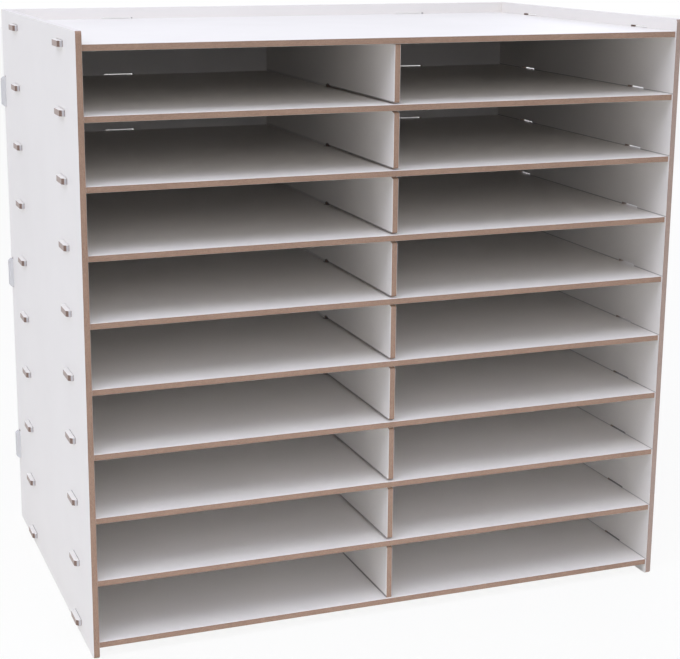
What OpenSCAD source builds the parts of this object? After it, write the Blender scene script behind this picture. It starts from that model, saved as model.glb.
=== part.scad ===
// Desk sorter: two columns of flat compartments made of thin coated boards
// that slot together without fasteners.
//
// Axes: X across the front, Y from front to back, Z up.
// The origin is on the floor, in the middle of the sorter.
// All sizes are in millimetres.

/* [Overall size] */
// Width over the outer faces of the two side panels
body_w = 508; // [440:1:620]
// Depth of the side panels, front to back
side_d = 328; // [305:1:400]
// Distance from one shelf to the next
pitch = 52; // [42:1:70]
// Space between the floor and the underside of the bottom shelf
foot_h = 8.5; // [5:0.5:40]
// Height of the rim around the top shelf
rim_h = 10; // [4:0.5:40]

/* [Boards] */
// Thickness of every board
board_t = 5; // [4:0.25:8]
// Radius of the corners of the side panels
corner_r = 3; // [1:0.5:8]
// Distance from the front edges of the sides back to the shelf edges
shelf_setback = 1.5; // [0:0.5:12]
// Distance from the front edges of the sides back to the divider edge
divider_setback = 3; // [0:0.5:14]
// Free strip of the side panels behind the back panel
rear_margin = 6; // [5:0.5:30]

/* [Tabs of the shelves] */
// Length of a side tab of a shelf
side_tab_l = 23; // [12:1:40]
// Middle of the front side tab, measured from the front edges of the sides
front_tab_y = 58; // [40:0.5:110]
// Middle of the rear side tab, measured from the front edges of the sides
rear_tab_y = 255.5; // [190:0.5:270]
// Length of a rear tab of a shelf
rear_tab_l = 26; // [12:1:60]
// Middle of a rear tab, measured from the middle of the sorter
rear_tab_x = 148.5; // [60:0.5:180]

/* [Tabs of the back panel] */
// Height of a tab at the edge of the back panel
back_tab_h = 27; // [15:1:50]
// Distance from the middle tab to the ones above and below it
back_tab_step = 170; // [80:1:180]
// How far the middle tab lies above half the height of the panel
back_tab_rise = 1.5; // [-8:0.5:8]

/* [Tab and slot fits] */
// How far a tab stands out of the board that it passes through
tab_out = 4; // [1:0.5:8]
// Chamfer on the outer corners of a tab
tab_chamfer = 2; // [0.5:0.5:4]
// Free space at each end of a tab in its slot
tab_end_gap = 1; // [0.2:0.1:3]
// Free strip above a shelf tab in its slot
tab_top_gap = 1.5; // [0.2:0.1:4]
// Free space behind the back panel's tabs in their slots
tab_back_gap = 0.3; // [0.1:0.1:1]

/* [Divider joints] */
// Depth at which shelves and divider meet, from the front edges of the sides
lap_y = 152; // [110:1:200]
// Free space beside the divider in the slots of the shelves
lap_side_gap = 0.2; // [0.1:0.1:0.6]
// Free space between a shelf and the end of its slot in the divider
lap_end_gap = 0.5; // [0.2:0.1:2]
// Free strip above a shelf in its slot in the divider
lap_top_gap = 1; // [0.2:0.1:3]
// Radius of the relief hole at the end of a slot in the divider
relief_r = 1.25; // [0.75:0.25:2.5]
// Length of the lead-in below a shelf at the mouth of its slot
lead_in_l = 9; // [2:0.5:20]
// Height of the lead-in at the mouth of the slot
lead_in_h = 2; // [0.5:0.25:4]
// Radius of the front corners between the slots of the divider
divider_corner_r = 2; // [0.5:0.5:5]
// Free space between the divider and the top shelf
divider_top_gap = 0.5; // [0.1:0.1:2]

/* [Hidden] */
// Number of compartments in one column
rows = 9;
// Overlap that keeps a cut clear of the face that it opens
cut = 1;

// Planes from front to back
front_y = -side_d / 2;
shelf_front_y = front_y + shelf_setback;
divider_front_y = front_y + divider_setback;
back_rear_y = -front_y - rear_margin;
back_front_y = back_rear_y - board_t;
lap_end_y = front_y + lap_y;

// Planes across the width
side_out_x = body_w / 2;
side_in_x = side_out_x - board_t;

// Heights
top_top_z = foot_h + rows * pitch + board_t;
body_h = top_top_z + rim_h;
divider_bottom_z = foot_h + board_t;
divider_top_z = foot_h + rows * pitch - divider_top_gap;

// Tab lengths along the direction in which the tabs point
tab_reach = board_t + tab_out;

// Sizes of the slots
side_slot_l = side_tab_l + 2 * tab_end_gap;
rear_slot_l = rear_tab_l + 2 * tab_end_gap;
shelf_slot_h = board_t + tab_top_gap;
lap_slot_h = board_t + lap_top_gap;

// Colours of the preview
coat_colour = [0.93, 0.93, 0.94];

$fn = 48;

// Height of the underside of a shelf, counted from 0 at the bottom
function shelf_z(level) = foot_h + level * pitch;

// Flat outline of a tab along +X that starts at x = 0, with its outer
// corners chamfered; its middle lies on the X axis.
module tab_outline(length) {
    polygon([
        [0, -length / 2],
        [tab_reach - tab_chamfer, -length / 2],
        [tab_reach, -length / 2 + tab_chamfer],
        [tab_reach, length / 2 - tab_chamfer],
        [tab_reach - tab_chamfer, length / 2],
        [0, length / 2]
    ]);
}

// Outline of a shelf: the board, four side tabs and two rear tabs
module shelf_outline() {
    translate([-side_in_x, shelf_front_y])
        square([2 * side_in_x, back_front_y - shelf_front_y]);
    for (side = [0, 1])
        mirror([side, 0]) {
            for (y = [front_tab_y, rear_tab_y])
                translate([side_in_x, front_y + y])
                    tab_outline(side_tab_l);
            translate([rear_tab_x, back_front_y])
                rotate(90)
                    tab_outline(rear_tab_l);
        }
}

// Slot of a shelf for the divider, open at the rear edge
module lap_slot_outline() {
    half_w = board_t / 2 + lap_side_gap;
    translate([-half_w, lap_end_y])
        square([2 * half_w, back_front_y - lap_end_y + cut]);
}

// Shelf without a slot, for the top and the bottom
module plain_shelf(level) {
    color(coat_colour)
        translate([0, 0, shelf_z(level)])
            linear_extrude(board_t)
                shelf_outline();
}

// Shelf with the slot for the divider
module slotted_shelf(level) {
    color(coat_colour)
        translate([0, 0, shelf_z(level)])
            linear_extrude(board_t)
                difference() {
                    shelf_outline();
                    lap_slot_outline();
                }
}

// Side panel outline in the Y-Z plane with rounded corners
module side_outline() {
    translate([front_y + corner_r, 0])
        square([side_d - 2 * corner_r, body_h]);
    translate([front_y, corner_r])
        square([side_d, body_h - 2 * corner_r]);
    for (y = [front_y + corner_r, -front_y - corner_r])
        for (z = [corner_r, body_h - corner_r])
            translate([y, z])
                circle(corner_r);
}

// Slots of a side panel in the Y-Z plane: two for each shelf, three for
// the tabs of the back panel
module side_slots() {
    for (level = [0:rows])
        for (y = [front_tab_y, rear_tab_y])
            translate([front_y + y - side_slot_l / 2, shelf_z(level)])
                square([side_slot_l, shelf_slot_h]);
    for (step = [-1:1])
        translate([back_front_y, back_tab_z(step) - back_tab_h / 2])
            square([board_t + tab_back_gap, back_tab_h + tab_end_gap]);
}

// Height of the middle of a tab of the back panel
function back_tab_z(step) = body_h / 2 + back_tab_rise + step * back_tab_step;

// Side panel on the right; the left one is its mirror image
module side_panel() {
    color(coat_colour)
        translate([side_in_x, 0, 0])
            rotate([90, 0, 90])
                linear_extrude(board_t)
                    difference() {
                        side_outline();
                        side_slots();
                    }
}

module right_side() {
    side_panel();
}

module left_side() {
    mirror([1, 0, 0])
        side_panel();
}

// Back panel between the sides, with three tabs at each edge and two slots
// for each shelf
module back_panel() {
    color(coat_colour)
        translate([0, back_rear_y, 0])
            rotate([90, 0, 0])
                linear_extrude(board_t)
                    difference() {
                        back_outline();
                        back_slots();
                    }
}

module back_outline() {
    translate([-side_in_x, 0])
        square([2 * side_in_x, body_h]);
    for (side = [0, 1])
        mirror([side, 0])
            for (step = [-1:1])
                translate([side_in_x, back_tab_z(step)])
                    tab_outline(back_tab_h);
}

module back_slots() {
    for (level = [0:rows])
        for (x = [-rear_tab_x, rear_tab_x])
            translate([x - rear_slot_l / 2, shelf_z(level)])
                square([rear_slot_l, shelf_slot_h]);
}

// Divider: a comb in the Y-Z plane whose slots open at the front edge
module divider() {
    color(coat_colour)
        translate([-board_t / 2, 0, 0])
            rotate([90, 0, 90])
                linear_extrude(board_t)
                    difference() {
                        divider_outline();
                        for (level = [1:rows - 1])
                            translate([0, shelf_z(level)])
                                divider_slot();
                    }
}

module divider_outline() {
    translate([divider_front_y, divider_bottom_z])
        square([back_front_y - divider_front_y,
                divider_top_z - divider_bottom_z]);
}

// Slot of the divider for one shelf, with the relief hole at its end, the
// lead-in below the shelf and the rounded corner above it; z = 0 is the
// underside of the shelf
module divider_slot() {
    end_y = lap_end_y + lap_end_gap;
    translate([divider_front_y - cut, 0])
        square([end_y - divider_front_y + cut, lap_slot_h]);
    translate([end_y - relief_r, lap_slot_h])
        circle(relief_r);
    polygon([
        [divider_front_y - cut, 0],
        [divider_front_y - cut, -lead_in_h],
        [divider_front_y, -lead_in_h],
        [divider_front_y + lead_in_l, 0]
    ]);
    translate([divider_front_y, lap_slot_h])
        difference() {
            translate([-cut, -cut])
                square([divider_corner_r + cut, divider_corner_r + cut]);
            translate([divider_corner_r, divider_corner_r])
                circle(divider_corner_r);
        }
}

module bottom_shelf() {
    plain_shelf(0);
}

module top_shelf() {
    plain_shelf(rows);
}

left_side();
right_side();
back_panel();
divider();
bottom_shelf();
slotted_shelf(1);  // shelf_1
slotted_shelf(2);  // shelf_2
slotted_shelf(3);  // shelf_3
slotted_shelf(4);  // shelf_4
slotted_shelf(5);  // shelf_5
slotted_shelf(6);  // shelf_6
slotted_shelf(7);  // shelf_7
slotted_shelf(8);  // shelf_8
top_shelf();
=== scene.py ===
import math

import bmesh
import bpy
from mathutils import Matrix, Vector


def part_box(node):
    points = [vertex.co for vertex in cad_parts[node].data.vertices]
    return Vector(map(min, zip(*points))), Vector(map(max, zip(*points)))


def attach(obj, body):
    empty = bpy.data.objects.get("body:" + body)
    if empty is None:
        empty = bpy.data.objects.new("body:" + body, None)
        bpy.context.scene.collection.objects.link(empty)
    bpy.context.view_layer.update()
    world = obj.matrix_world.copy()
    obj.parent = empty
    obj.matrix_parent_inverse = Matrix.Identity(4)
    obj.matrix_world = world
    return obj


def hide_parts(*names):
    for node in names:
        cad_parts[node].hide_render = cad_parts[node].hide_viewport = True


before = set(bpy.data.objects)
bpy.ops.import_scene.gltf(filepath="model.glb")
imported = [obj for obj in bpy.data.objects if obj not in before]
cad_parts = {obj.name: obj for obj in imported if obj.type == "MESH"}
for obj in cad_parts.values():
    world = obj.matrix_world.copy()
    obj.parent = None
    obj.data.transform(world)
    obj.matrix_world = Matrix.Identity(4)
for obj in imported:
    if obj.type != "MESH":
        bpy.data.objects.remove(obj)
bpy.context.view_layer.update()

# ---------------------------------------------------------------- sizes

MM = 0.001

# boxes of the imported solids, and what follows from them
side_low, side_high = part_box("right_side")
back_low, back_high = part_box("back_panel")
divider_low, divider_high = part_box("divider")
bottom_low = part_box("bottom_shelf")[0]
shelf_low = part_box("shelf_1")[0]
next_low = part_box("shelf_2")[0]
top_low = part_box("top_shelf")[0]

board = side_high.x - side_low.x
pitch = next_low.z - shelf_low.z
body_height = side_high.z
front = side_low.y
side_inner = side_low.x
side_outer = side_high.x
rows = round((top_low.z - bottom_low.z) / pitch)

# tabs, slots and joints, as in the solids
corner_radius = 3 * MM
tab_out = 4 * MM
tab_chamfer = 2 * MM
tab_reach = board + tab_out
side_tab_length = 23 * MM
side_tab_places = (58 * MM, 255.5 * MM)
rear_tab_length = 26 * MM
rear_tab_place = 148.5 * MM
back_tab_height = 27 * MM
back_tab_step = 170 * MM
back_tab_middle = body_height / 2 + 1.5 * MM
end_gap = 1 * MM
back_gap = 0.3 * MM
lap_width = board + 0.4 * MM
lap_start = 152 * MM
lap_end_gap = 0.5 * MM
lap_top_gap = 1 * MM
relief_radius = 1.25 * MM
lead_in_length = 9 * MM
lead_in_height = 2 * MM
tooth_radius = 2 * MM

# gap above the tabs in their slots; the photo shows none on the left, and a narrow one at the rear
top_gap = 1.5 * MM
left_top_gap = 0.3 * MM
rear_top_gap = 1.0 * MM

# the coat's thickness, the eased edges, and how far a cutter reaches past a board
skin = 0.28 * MM
edge_round = 0.3 * MM
overlap = 1 * MM

# points closer than this are one, and a border between two colours is blurred by this much
weld = 0.005 * MM
blur = 0.1 * MM

# edges that bend less than the first look smooth, and those that bend more than the second are eased
smooth_bend = math.radians(20)
sharp_bend = math.radians(30)

# ---------------------------------------------------------------- node maths


class Wire:
    """One output in a node tree. Sums on it add Math nodes to the tree."""

    def __init__(self, tree, socket=None):
        self.tree = tree
        self.socket = socket

    def node(self, kind, settings=None, values=None, out=0):
        made = self.tree.nodes.new(kind)
        for name, value in (settings or {}).items():
            setattr(made, name, value)
        for name, value in (values or {}).items():
            for one in value if isinstance(value, list) else [value]:
                if isinstance(one, Wire):
                    self.tree.links.new(one.socket, made.inputs[name])
                else:
                    made.inputs[name].default_value = one
        return Wire(self.tree, made.outputs[out] if made.outputs else None)

    def math(self, operation, *values):
        return self.node("ShaderNodeMath", {"operation": operation}, dict(enumerate(values)))

    def __add__(self, other):
        return self.math("ADD", self, other)

    def __sub__(self, other):
        return self.math("SUBTRACT", self, other)

    def __rsub__(self, other):
        return self.math("SUBTRACT", other, self)

    def __mul__(self, other):
        return self.math("MULTIPLY", self, other)

    def __truediv__(self, other):
        return self.math("DIVIDE", self, other)

    def __abs__(self):
        return self.math("ABSOLUTE", self)

    __radd__ = __add__
    __rmul__ = __mul__

    def ramp(self, low, high):
        """0 at low, 1 at high and straight between."""
        values = {"Value": self, "From Min": low, "From Max": high}
        return self.node("ShaderNodeMapRange", {"clamp": True}, values)

    def blend(self, low, high):
        """low where this is 0, high where it is 1; both are colours."""
        return self.node("ShaderNodeMix", {"data_type": "RGBA"}, {0: self, 6: low, 7: high}, out=2)

    def stretched(self, scale):
        """This place, scaled along each axis."""
        values = {0: self, 1: scale}
        return self.node("ShaderNodeVectorMath", {"operation": "MULTIPLY"}, values)

    def noise(self, scale, detail=3.0, rough=0.5):
        """Noise of this place, from 0 to 1."""
        values = {"Vector": self, "Scale": scale, "Detail": detail, "Roughness": rough}
        return self.node("ShaderNodeTexNoise", None, values)


# ---------------------------------------------------------------- colours

# linear red, green and blue, with a full alpha
core_dark = (0.250, 0.154, 0.101, 1)
core_light = (0.457, 0.303, 0.208, 1)
dense_core = (0.24, 0.145, 0.098, 1)
pore_brown = (0.10, 0.055, 0.045, 1)
# painted light in part: a pale grey for edges, which on the walls of the left panel's slots lightens their
# shade
pale_edge = (0.62, 0.60, 0.59, 1)
# a pale grey for the shelves' tab stems and the edges of the back panel's tabs; on the walls of its slots
# above the tray it is painted light against their shade
pale_tab = (0.60, 0.58, 0.57, 1)
# painted shade on the chamfers of the shelves' tabs, and painted light on their ends
chamfer_painted_shade = (0.12, 0.085, 0.075, 1)
tab_end_painted_light = (0.55, 0.49, 0.45, 1)
# painted light: the top edges of the boards at the rim are cream
rim_painted_light = (0.84, 0.80, 0.75, 1)
coat_low = (0.828, 0.792, 0.738, 1)
coat_high = (0.858, 0.821, 0.766, 1)
# painted shade: a darker copy of the coat for the back panel's tabs
shaded_tab_coat = (0.68, 0.675, 0.66, 1)
# painted shade inside the slots of the sides, on the lower shelves
slot_shade = (0.12, 0.105, 0.095, 1)
# painted shade in the relief holes of the divider and the notches at the ends of the shelves' slots
notch_shade = (0.06, 0.05, 0.045, 1)
# painted shade in the joints where the shelves meet the upright boards
joint_shade = (0.22, 0.20, 0.18, 1)
dust_grey = (0.55, 0.53, 0.50, 1)
floor_low = (0.84, 0.82, 0.75, 1)
floor_high = (0.86, 0.84, 0.77, 1)
white_paper = (1, 1, 1, 1)
daylight = (0.95, 0.988, 1.155)

# ---------------------------------------------------------------- materials


def new_material(name):
    """An empty material, and a Wire to start its tree from."""
    material = bpy.data.materials.new(name)
    material.use_nodes = True
    material.node_tree.nodes.clear()
    return material, Wire(material.node_tree)


class Spot:
    """Where a point lies on the sorter, and the masks that several finishes share."""

    def __init__(self, start):
        self.place = start.node("ShaderNodeTexCoord", out="Object")
        self.x, self.y, self.z = [
            start.node("ShaderNodeSeparateXYZ", None, {"Vector": self.place}, out=i) for i in range(3)]
        self.outside = abs(self.x)
        self.proud = self.outside.ramp(side_outer - blur, side_outer + 2 * blur)
        self.behind_lap = self.y - (front + lap_start)
        self.lapped = (self.z.ramp(0.6 * pitch, 0.7 * pitch)
                       * self.z.ramp(top_low.z - 2 * board, top_low.z - 3 * board))

    def to_shelf(self, height):
        """Distance to this height at the nearest shelf; the height is that of the bottom shelf."""
        level = (self.z - height) / pitch
        return (level - level.math("ROUND", level)) * pitch

    def joint(self, width):
        """1 on a fine line of painted shade where the inner face of an upright board meets a shelf of the
        rows.
        """
        from_line = abs(self.to_shelf(bottom_low.z + board + width / 2))
        inner = self.outside.ramp(side_inner + 0.6 * MM, side_inner + 0.3 * MM)
        below_tray = self.z.ramp(top_low.z + board, top_low.z)
        return from_line.ramp(width * 0.75, width * 0.35) * inner * below_tray


def from_side(spot):
    """Distance from the middle of a side panel, positive outside it."""
    return spot.outside - (side_low.x + side_high.x) / 2


def side_edges(core, spot):
    """The right panel's edges are a little paler, and the walls of the left one's slots are pale, painted
    light against their shade.
    """
    core = (spot.x.ramp(0.0, side_inner) * 0.18).blend(core, pale_edge)
    deep = corner_radius + 0.4 * MM
    half = body_height / 2
    rear_or_front = (front + abs(spot.y)).ramp(-deep, 2 * blur - deep)
    foot_or_rim = abs(spot.z - half).ramp(half - deep, half - deep + 2 * blur)
    # painted light: the walls of the left panel's slots, away from its outer edges, are pale against their
    # shade
    left = (0.0 - spot.x).ramp(side_inner - 2 * blur, side_inner - blur)
    return (left * (1.0 - rear_or_front) * (1.0 - foot_or_rim)).blend(core, pale_edge)


def side_faces(white, spot):
    """Painted shade: a fine dark line runs along each shelf."""
    return (spot.joint(0.7 * MM) * 0.6).blend(white, joint_shade)


def from_divider(spot):
    """Distance from the middle of the divider."""
    return spot.outside


def divider_edges(core, spot):
    """The divider's edges are bare."""
    return core


def divider_faces(white, spot):
    """The painted shade along each shelf is fainter behind the lap joint, where it ends in the painted
    shade of the relief hole."""
    width = 1.9 * MM
    share = 0.9 - spot.behind_lap.ramp(0.0, 3 * MM) * 0.65
    white = (spot.joint(width) * share).blend(white, joint_shade)
    along = (spot.behind_lap + 3 * MM) / 2.2
    rise = spot.to_shelf(bottom_low.z + board + width / 2)
    # painted shade around the relief hole
    hole = (along * along + rise * rise).ramp((2.4 * MM) ** 2, (1.8 * MM) ** 2) * spot.lapped
    return (hole * 0.85).blend(white, notch_shade)


def from_back(spot):
    """Distance from the middle of the back panel, positive behind it."""
    return spot.y - (back_low.y + back_high.y) / 2


def back_edges(core, spot):
    """The edges of the back panel's tabs are pale, and the walls of its slots above the tray are pale too,
    as painted light against their shade.
    """
    tray = spot.z.ramp(top_low.z - 2 * blur, top_low.z)
    return tray.math("MAXIMUM", spot.proud, tray).blend(core, pale_tab)


def back_faces(white, spot):
    """Painted shade: the coat of the tabs is darker."""
    return spot.proud.blend(white, shaded_tab_coat)


def from_shelf(spot):
    """Distance from the middle of the nearest shelf, positive above it."""
    return spot.to_shelf(bottom_low.z + board / 2)


def shelf_edges(core, spot):
    """A shelf's tab has dark chamfers, painted shade, a lighter end, painted light, and a pale stem."""
    tip = side_outer + tab_out
    shoulder = tip - tab_chamfer
    beyond = spot.outside.ramp(shoulder - 2 * blur, shoulder + 2 * blur)
    end = spot.outside.ramp(tip - 0.25 * MM, tip - 0.05 * MM)
    # painted shade: the chamfers are darker
    core = (beyond * (1.0 - end) * 0.6).blend(core, chamfer_painted_shade)
    # painted light: the end is lighter
    core = (end * 0.55).blend(core, tab_end_painted_light)
    return (spot.proud * (1.0 - beyond)).blend(core, pale_tab)


def shelf_faces(white, spot):
    """Painted shade: the lower shelves are dark inside the slots of the sides, and the slots for the
    divider end in a dark notch."""
    in_slot = spot.outside.ramp(side_inner - blur, side_inner + blur) * (1.0 - spot.proud)
    # painted shade in the slots, stronger on the lower rows
    white = (in_slot * spot.z.ramp(5 * pitch, 3 * pitch) * 0.9).blend(white, slot_shade)
    from_lap = spot.behind_lap * spot.behind_lap + spot.x * spot.x
    # painted shade at the end of the slot for the divider
    notch = from_lap.ramp((4.8 * MM) ** 2, (3.8 * MM) ** 2) * spot.lapped
    return (notch * 0.9).blend(white, notch_shade)


def coated_board(name, axis, from_middle, edges, faces):
    """Fibreboard with a white coat on both faces and bare edges. The board lies square to the axis,
    and the coat is where a point is almost half a board away from its middle."""
    material, start = new_material(name)
    spot = Spot(start)
    place = spot.place
    above = from_middle(spot)
    depth = abs(above)
    skin_start = board / 2 - skin

    # how far into the coat a point lies, with a slightly ragged line where it was cut; below a shelf
    # and inside a side panel the coat ends before the eased edge, as painted shade on that edge
    under = above.ramp(0.0, -blur)
    ragged = place.noise(1400, 4.0, 0.6) - 0.5
    coat = (depth + ragged * (0.14 * MM) - under * (0.16 * MM)).ramp(
        skin_start - blur / 2, skin_start + blur / 2)

    # bare core: fine layers along the board, fibres, and small dark pores
    layered = tuple(2.6 if i == axis else 0.34 for i in range(3))
    layers = place.stretched(layered).noise(900, 5.0, 0.62)
    fibres = place.noise(1100, 6.0, 0.7)
    blotches = place.noise(38, 3.0, 0.5)
    pores = place.noise(2300, 2.0, 0.5).ramp(0.60, 0.74)
    dense = (depth / (board / 2)).ramp(0.45, 1.0)
    tone = layers * 0.5 + fibres * 0.35 + blotches * 0.15
    core = tone.ramp(0.32, 0.68).blend(core_dark, core_light)
    core = (dense * 0.35).blend(core, dense_core)
    core = (pores * 0.45).blend(core, pore_brown)
    core = edges(core, spot)
    # painted light on the top edges at the rim
    rim = spot.z.ramp(body_height - 0.6 * MM, body_height - 0.3 * MM)
    core = (rim * 0.9).blend(core, rim_painted_light)

    # white coat: almost even and a little warm, with faint clouds and a few specks of dust
    clouds = place.noise(9, 4.0, 0.55).ramp(0.3, 0.7)
    specks = place.noise(620, 2.0, 0.5).ramp(0.735, 0.79)
    white = faces(clouds.blend(coat_low, coat_high), spot)
    white = (specks * 0.12).blend(white, dust_grey)

    smears = place.noise(26, 4.0, 0.6)
    coat_rough = 0.40 + smears * 0.14
    core_rough = 0.78 + fibres * 0.16
    rough = core_rough + (coat_rough - core_rough) * coat

    peel = place.noise(760, 3.0, 0.5)
    waves = place.noise(60, 2.0, 0.5)
    coat_height = peel * 0.010 + waves * 0.05
    core_height = layers * 0.22 + fibres * 0.12 - pores * 0.10
    height = core_height + (coat_height - core_height) * coat + coat * 0.12
    bump = start.node("ShaderNodeBump", None, {"Strength": 0.6, "Distance": 0.25 * MM, "Height": height})

    shader = start.node("ShaderNodeBsdfPrincipled", None, {
        "Base Color": coat.blend(core, white), "Roughness": rough, "Normal": bump, "IOR": 1.48})
    start.node("ShaderNodeOutputMaterial", None, {"Surface": shader})
    material.diffuse_color = (0.9, 0.9, 0.91, 1)
    return material


side_finish = coated_board("side_board", 0, from_side, side_edges, side_faces)
divider_finish = coated_board("divider_board", 0, from_divider, divider_edges, divider_faces)
back_finish = coated_board("back_board", 1, from_back, back_edges, back_faces)
shelf_finish = coated_board("shelf_board", 2, from_shelf, shelf_edges, shelf_faces)

# ---------------------------------------------------------------- outlines


def walk(corner, along, cuts):
    """Points from a corner of a board along one edge, the board on the left. Each cut is
    (middle, length, reach, chamfer): a tab where the reach is positive, else a slot."""
    along = Vector(along)
    out = Vector((along.y, -along.x))
    points = [Vector(corner)]
    for middle, length, reach, chamfer in cuts:
        steps = [(0, 0), (0, reach - chamfer), (chamfer, reach),
                 (length - chamfer, reach), (length, reach - chamfer), (length, 0)]
        for run, rise in steps:
            point = Vector(corner) + along * (middle - length / 2 + run) + out * rise
            if (point - points[-1]).length > weld:
                points.append(point)
    return points


def arc(centre, radius, start, end, steps=12):
    """Points on an arc, angles in quarter turns."""
    turns = [(start + (end - start) * i / steps) * math.pi / 2 for i in range(steps + 1)]
    return [Vector(centre) + radius * Vector((math.cos(a), math.sin(a))) for a in turns]


def shelf_outline(slotted):
    """Shelf seen from above: a tab for each slot of the sides and the back panel."""
    left, right, near, far = -side_inner, side_inner, shelf_low.y, back_low.y
    shift = near - front
    up = [(place - shift, side_tab_length, tab_reach, tab_chamfer) for place in side_tab_places]
    down = [(far - near - run, length, reach, cut) for run, length, reach, cut in reversed(up)]
    rear = [(side_inner - rear_tab_place, rear_tab_length, tab_reach, tab_chamfer),
            (side_inner + rear_tab_place, rear_tab_length, tab_reach, tab_chamfer)]
    if slotted:
        rear.insert(1, (side_inner, lap_width, front + lap_start - far, 0))
    return (walk((left, near), (1, 0), []) + walk((right, near), (0, 1), up)
            + walk((right, far), (-1, 0), rear) + walk((left, far), (0, -1), down))


def back_outline():
    """Back panel seen from the front, with three tabs at each edge."""
    middles = [back_tab_middle + step * back_tab_step for step in (-1, 0, 1)]
    up = [(z, back_tab_height, tab_reach, tab_chamfer) for z in middles]
    down = [(body_height - z, height, reach, cut) for z, height, reach, cut in reversed(up)]
    left, right, top = -side_inner, side_inner, body_height
    return (walk((left, 0), (1, 0), []) + walk((right, 0), (0, 1), up)
            + walk((right, top), (-1, 0), []) + walk((left, top), (0, -1), down))


def side_outline():
    """Side panel in the Y-Z plane with rounded corners."""
    near, far, r, top = front, -front, corner_radius, body_height
    return (arc((near + r, r), r, 2, 3) + arc((far - r, r), r, 3, 4)
            + arc((far - r, top - r), r, 0, 1) + arc((near + r, top - r), r, 1, 2))


def tooth_cut_outline():
    """What one slot removes from the divider, open to the front; 0 is the shelf's underside."""
    near = divider_low.y
    end = front + lap_start + lap_end_gap
    high = board + lap_top_gap
    r = tooth_radius
    return ([Vector((near - overlap, -lead_in_height)), Vector((near, -lead_in_height)),
             Vector((near + lead_in_length, 0)), Vector((end, 0)), Vector((end, high))]
            + arc((end - relief_radius, high), relief_radius, 0, 2)
            + list(reversed(arc((near + r, high + r), r, 2, 3)))
            + [Vector((near - overlap, high + r))])


# ---------------------------------------------------------------- geometry trees


def new_tree(name, inputs):
    """A geometry tree with these named inputs, and a Wire for each."""
    tree = bpy.data.node_groups.new(name, "GeometryNodeTree")
    tree.interface.new_socket("Geometry", in_out="OUTPUT", socket_type="NodeSocketGeometry")
    for label, kind in {"Outline": "Geometry", **inputs, "Finish": "Material"}.items():
        tree.interface.new_socket(label, in_out="INPUT", socket_type="NodeSocket" + kind)
    entry = tree.nodes.new("NodeGroupInput")
    return {socket.name: Wire(tree, socket) for socket in entry.outputs if socket.name}


def close_tree(geometry, finish):
    """Real geometry with its material at the end of the tree."""
    real = geometry.node("GeometryNodeRealizeInstances", None, {"Geometry": geometry})
    coated = real.node("GeometryNodeSetMaterial", None, {"Geometry": real, "Material": finish})
    coated.node("NodeGroupOutput", None, {"Geometry": coated})
    return geometry.tree


def vector(x=0.0, y=0.0, z=0.0):
    """A vector from parts of which at least one is a Wire."""
    wire = next(value for value in (x, y, z) if isinstance(value, Wire))
    return wire.node("ShaderNodeCombineXYZ", None, {"X": x, "Y": y, "Z": z})


def repeated(item, count, start, step):
    """The item at points on a straight line."""
    line = item.node("GeometryNodeMeshLine", {"mode": "OFFSET", "count_mode": "TOTAL"},
                     {"Count": count, "Start Location": start, "Offset": step})
    copies = item.node("GeometryNodeInstanceOnPoints", None, {"Points": line, "Instance": item})
    return copies.node("GeometryNodeRealizeInstances", None, {"Geometry": copies})


def slab(curve, thickness):
    """A closed board of even thickness from the curves that bound it and its holes."""
    flat = curve.node("GeometryNodeFillCurve", {"mode": "NGONS"}, {"Curve": curve})
    raised = flat.node("GeometryNodeExtrudeMesh", {"mode": "FACES"},
                       {"Mesh": flat, "Offset Scale": thickness, "Individual": False})
    under = flat.node("GeometryNodeFlipFaces", None, {"Mesh": flat})
    both = flat.node("GeometryNodeJoinGeometry", None, {"Geometry": [raised, under]})
    return both.node("GeometryNodeMergeByDistance", None, {"Geometry": both, "Distance": 2 * weld})


def rectangle(width, height):
    """A flat rectangle around the origin."""
    return width.node("GeometryNodeCurvePrimitiveQuadrilateral", {"mode": "RECTANGLE"},
                      {"Width": width, "Height": height})


def slotted_board_tree():
    """A board with a slot at two places on every level, and a few slots for keys."""
    numbers = ["Thickness", "Slot Length", "Slot Height", "First Level", "Pitch", "First Place",
               "Second Place", "Key Width", "Key Height", "Key Place", "First Key", "Key Step"]
    wires = new_tree("slotted_board", {**dict.fromkeys(numbers, "Float"), "Levels": "Int", "Keys": "Int"})
    outline = wires["Outline"].node("GeometryNodeMeshToCurve", None, {"Mesh": wires["Outline"]})
    slot = rectangle(wires["Slot Length"], wires["Slot Height"])
    key = rectangle(wires["Key Width"], wires["Key Height"])
    up = vector(y=wires["Pitch"])
    level = wires["First Level"] + wires["Slot Height"] / 2
    curves = [outline]
    for place in ("First Place", "Second Place"):
        curves.append(repeated(slot, wires["Levels"], vector(wires[place], level), up))
    curves.append(repeated(key, wires["Keys"], vector(wires["Key Place"], wires["First Key"]),
                           vector(y=wires["Key Step"])))
    every = outline.node("GeometryNodeJoinGeometry", None, {"Geometry": curves})
    return close_tree(slab(every, wires["Thickness"]), wires["Finish"])


def shelf_stack_tree():
    """One shelf, repeated upwards."""
    numbers = ["Thickness", "First Level", "Pitch"]
    wires = new_tree("shelf_stack", {**dict.fromkeys(numbers, "Float"), "Shelves": "Int"})
    outline = wires["Outline"].node("GeometryNodeMeshToCurve", None, {"Mesh": wires["Outline"]})
    shelf = slab(outline, wires["Thickness"])
    stack = repeated(shelf, wires["Shelves"], vector(z=wires["First Level"]), vector(z=wires["Pitch"]))
    return close_tree(stack, wires["Finish"])


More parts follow.
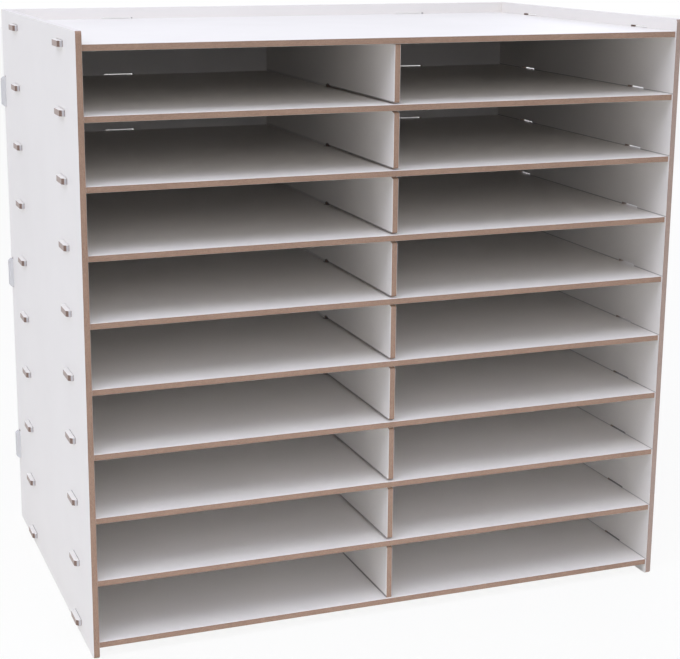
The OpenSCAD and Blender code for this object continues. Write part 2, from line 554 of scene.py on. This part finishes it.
def comb_tree():
    """A plain board with the same slot cut out again and again along its edge."""
    numbers = ["Thickness", "Depth", "Height", "Middle", "Centre Height", "First Slot", "Pitch"]
    wires = new_tree("comb", {**dict.fromkeys(numbers, "Float"), "Slots": "Int"})
    sheet = rectangle(wires["Depth"], wires["Height"])
    sheet = sheet.node("GeometryNodeTransform", None,
                       {"Geometry": sheet, "Translation": vector(wires["Middle"], wires["Centre Height"])})
    outline = wires["Outline"].node("GeometryNodeMeshToCurve", None, {"Mesh": wires["Outline"]})
    cutter = slab(outline, wires["Thickness"] + 2 * overlap)
    cutters = repeated(cutter, wires["Slots"], vector(0.0, wires["First Slot"], -overlap),
                       vector(y=wires["Pitch"]))
    comb = sheet.node("GeometryNodeMeshBoolean", {"operation": "DIFFERENCE", "solver": "EXACT"},
                      {"Mesh 1": slab(sheet, wires["Thickness"]), "Mesh 2": cutters})
    return close_tree(comb, wires["Finish"])


def made_by(tree, outline, inputs):
    """The plain mesh that a tree makes from an outline and its named inputs."""
    count = len(outline)
    base = bpy.data.meshes.new("outline")
    points = [(*point, 0) for point in outline]
    edges = [(i, (i + 1) % count) for i in range(count)]
    base.from_pydata(points, edges, [])
    maker = bpy.data.objects.new("maker", base)
    bpy.context.scene.collection.objects.link(maker)
    modifier = maker.modifiers.new("made", "NODES")
    modifier.node_group = tree
    for item in tree.interface.items_tree:
        if item.in_out == "INPUT" and item.name in inputs:
            modifier[item.identifier] = inputs[item.name]
    mesh = plain_mesh(maker)
    bpy.data.objects.remove(maker)
    return mesh


def plain_mesh(thing):
    """The mesh of a thing with its modifiers applied."""
    depsgraph = bpy.context.evaluated_depsgraph_get()
    return bpy.data.meshes.new_from_object(thing.evaluated_get(depsgraph), depsgraph=depsgraph)


# ---------------------------------------------------------------- boards


def board_piece(node, mesh, place):
    """A finished board that stands for a CAD node: moved to its place, with eased edges."""
    work = bmesh.new()
    work.from_mesh(mesh)
    work.transform(place)
    bmesh.ops.remove_doubles(work, verts=work.verts, dist=weld)
    bmesh.ops.recalc_face_normals(work, faces=work.faces)
    for face in work.faces:
        face.smooth = True
    for edge in work.edges:
        edge.smooth = edge.calc_face_angle(0.0) < smooth_bend
    shaped = bpy.data.meshes.new(node + "_board")
    work.to_mesh(shaped)
    work.free()
    for material in mesh.materials:
        shaped.materials.append(material)
    piece = bpy.data.objects.new(node + "_board", shaped)
    bpy.context.scene.collection.objects.link(piece)
    ease = piece.modifiers.new("eased_edges", "BEVEL")
    ease.width = edge_round
    ease.segments = 2
    ease.limit_method = "ANGLE"
    ease.angle_limit = sharp_bend
    ease.harden_normals = True
    ease.use_clamp_overlap = True
    piece.data = plain_mesh(piece)
    piece.modifiers.clear()
    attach(piece, "root")
    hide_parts(node)
    return piece


def cut_out(mesh, low, high):
    """The part of a mesh between two heights."""
    work = bmesh.new()
    work.from_mesh(mesh)
    bmesh.ops.delete(work, geom=[v for v in work.verts if not low < v.co.z < high], context="VERTS")
    part = mesh.copy()
    work.to_mesh(part)
    work.free()
    return part


def facing(across, upward, outward, origin):
    """Matrix that lays a flat outline into the sorter: where its X, its Y and its thickness go."""
    turn = Matrix((across, upward, outward)).transposed().to_4x4()
    return Matrix.Translation(origin) @ turn


upright = ((0, 1, 0), (0, 0, 1), (1, 0, 0))
slotted_board = slotted_board_tree()
shelf_stack = shelf_stack_tree()
comb = comb_tree()

for node, start, gap in (("right_side", side_inner, top_gap),
                         ("left_side", -side_inner - board, left_top_gap)):
    side_mesh = made_by(slotted_board, side_outline(), {
        "Thickness": board, "Levels": rows + 1, "Pitch": pitch, "First Level": bottom_low.z,
        "Slot Length": side_tab_length + 2 * end_gap, "Slot Height": board + gap,
        "First Place": front + side_tab_places[0], "Second Place": front + side_tab_places[1],
        "Keys": 3, "Key Width": board + back_gap, "Key Height": back_tab_height + end_gap,
        "Key Place": back_low.y + (board + back_gap) / 2, "Key Step": back_tab_step,
        "First Key": back_tab_middle - back_tab_step + end_gap / 2, "Finish": side_finish})
    board_piece(node, side_mesh, facing(*upright, (start, 0, 0)))

back_mesh = made_by(slotted_board, back_outline(), {
    "Thickness": board, "Levels": rows + 1, "Pitch": pitch, "First Level": bottom_low.z,
    "Slot Length": rear_tab_length + 2 * end_gap, "Slot Height": board + rear_top_gap,
    "First Place": -rear_tab_place, "Second Place": rear_tab_place,
    "Keys": 0, "Key Width": board, "Key Height": board, "Finish": back_finish})
board_piece("back_panel", back_mesh, facing((1, 0, 0), (0, 0, 1), (0, -1, 0), (0, back_high.y, 0)))

divider_mesh = made_by(comb, tooth_cut_outline(), {
    "Thickness": board, "Depth": divider_high.y - divider_low.y, "Height": divider_high.z - divider_low.z,
    "Middle": (divider_high.y + divider_low.y) / 2,
    "Centre Height": (divider_high.z + divider_low.z) / 2,
    "First Slot": bottom_low.z + pitch, "Pitch": pitch, "Slots": rows - 1, "Finish": divider_finish})
board_piece("divider", divider_mesh, facing(*upright, (divider_low.x, 0, 0)))

inner_mesh = made_by(shelf_stack, shelf_outline(True), {
    "Thickness": board, "Shelves": rows - 1, "First Level": bottom_low.z + pitch, "Pitch": pitch,
    "Finish": shelf_finish})
outer_mesh = made_by(shelf_stack, shelf_outline(False), {
    "Thickness": board, "Shelves": 2, "First Level": bottom_low.z, "Pitch": rows * pitch,
    "Finish": shelf_finish})
for level in range(rows + 1):
    node = {0: "bottom_shelf", rows: "top_shelf"}.get(level, f"shelf_{level}")
    height = bottom_low.z + level * pitch
    stack = outer_mesh if level in (0, rows) else inner_mesh
    board_piece(node, cut_out(stack, height - overlap, height + board + overlap), Matrix())

# ---------------------------------------------------------------- floor and surround

floor_reach = 8.0
floor_white = 0.88
world_strength = 0.61


def white_behind(tree, shader, white):
    """The shader for light on the object; what the camera, glass and gloss see is nearer to white."""
    start = Wire(tree)
    seen = start.node("ShaderNodeLightPath", out="Is Camera Ray")
    glossy = start.node("ShaderNodeLightPath", out="Is Glossy Ray")
    through = start.node("ShaderNodeLightPath", out="Is Transmission Ray")
    share = (seen + glossy + through).ramp(0.0, 1.0) * white
    paper = start.node("ShaderNodeEmission", None, {"Color": white_paper, "Strength": 1.0})
    return start.node("ShaderNodeMixShader", None, {0: share, 1: shader, 2: paper})


world = bpy.data.worlds.new("studio")
world.use_nodes = True
world.node_tree.nodes.clear()
start = Wire(world.node_tree)
sky = start.node("ShaderNodeBackground", None, {"Color": (*daylight, 1), "Strength": world_strength})
start.node("ShaderNodeOutputWorld", None, {"Surface": white_behind(world.node_tree, sky, 1.0)})
bpy.context.scene.world = world

paint, start = new_material("floor_paint")
place = start.node("ShaderNodeTexCoord", out="Object")
mottle = place.noise(3.0).ramp(0.3, 0.7).blend(floor_low, floor_high)
matt = start.node("ShaderNodeBsdfPrincipled", None, {"Base Color": mottle, "Roughness": 0.9})
start.node("ShaderNodeOutputMaterial", None, {"Surface": white_behind(paint.node_tree, matt, floor_white)})

floor_mesh = bpy.data.meshes.new("floor")
floor_corners = [(x * floor_reach, y * floor_reach, 0) for x, y in ((-1, -1), (1, -1), (1, 1), (-1, 1))]
floor_mesh.from_pydata(floor_corners, [], [(0, 1, 2, 3)])
floor_mesh.materials.append(paint)
floor = bpy.data.objects.new("floor", floor_mesh)
bpy.context.scene.collection.objects.link(floor)

# ---------------------------------------------------------------- lamps


def softbox(name, place, target, size, power, spread=180):
    """A rectangular lamp that shines from a place to a target; a spread below 180 is a grid."""
    lamp = bpy.data.lights.new(name, "AREA")
    lamp.shape = "RECTANGLE"
    lamp.size, lamp.size_y = size
    lamp.energy = power
    lamp.spread = math.radians(spread)
    lamp.color = daylight
    holder = bpy.data.objects.new(name, lamp)
    holder.location = place
    holder.rotation_mode = "QUATERNION"
    holder.rotation_quaternion = (Vector(target) - Vector(place)).to_track_quat("-Z", "Y")
    bpy.context.scene.collection.objects.link(holder)


centre = (0, 0, 0.25)
softbox("overhead", (-0.1, -1.0, 2.3), centre, (1.8, 1.2), 13.7)
softbox("left", (-1.6, -0.7, 2.0), centre, (1.6, 1.6), 18)
softbox("rear", (1.8, 1.8, 0.8), centre, (1.2, 1.0), 6)
# a weak one low in front, behind a grid, lifts the lower rows
softbox("low", (-0.35, -2.2, 0.6), (0, -0.16, -0.03), (0.7, 0.3), 0.28, 24)

# ---------------------------------------------------------------- camera

# place, turn and lens that fit the photo's edges best
camera_place = (-0.4813105, -1.2747173, 0.5620636)
camera_right = Vector((0.9402993, -0.3403372, 0.0028131))
camera_up = Vector((0.0755729, 0.2168411, 0.9732773))
camera_data = bpy.data.cameras.new("camera")
camera_data.lens = 81.7175
camera_data.sensor_width = 36
camera_data.shift_x = 0.0534514
camera_data.shift_y = -0.0517183
camera_data.clip_start = 0.05
camera = bpy.data.objects.new("camera", camera_data)
camera.matrix_world = facing(camera_right, camera_up, camera_right.cross(camera_up), camera_place)
bpy.context.scene.collection.objects.link(camera)
bpy.context.scene.camera = camera
bpy.context.scene.view_settings.view_transform = "Standard"

bpy.context.view_layer.update()
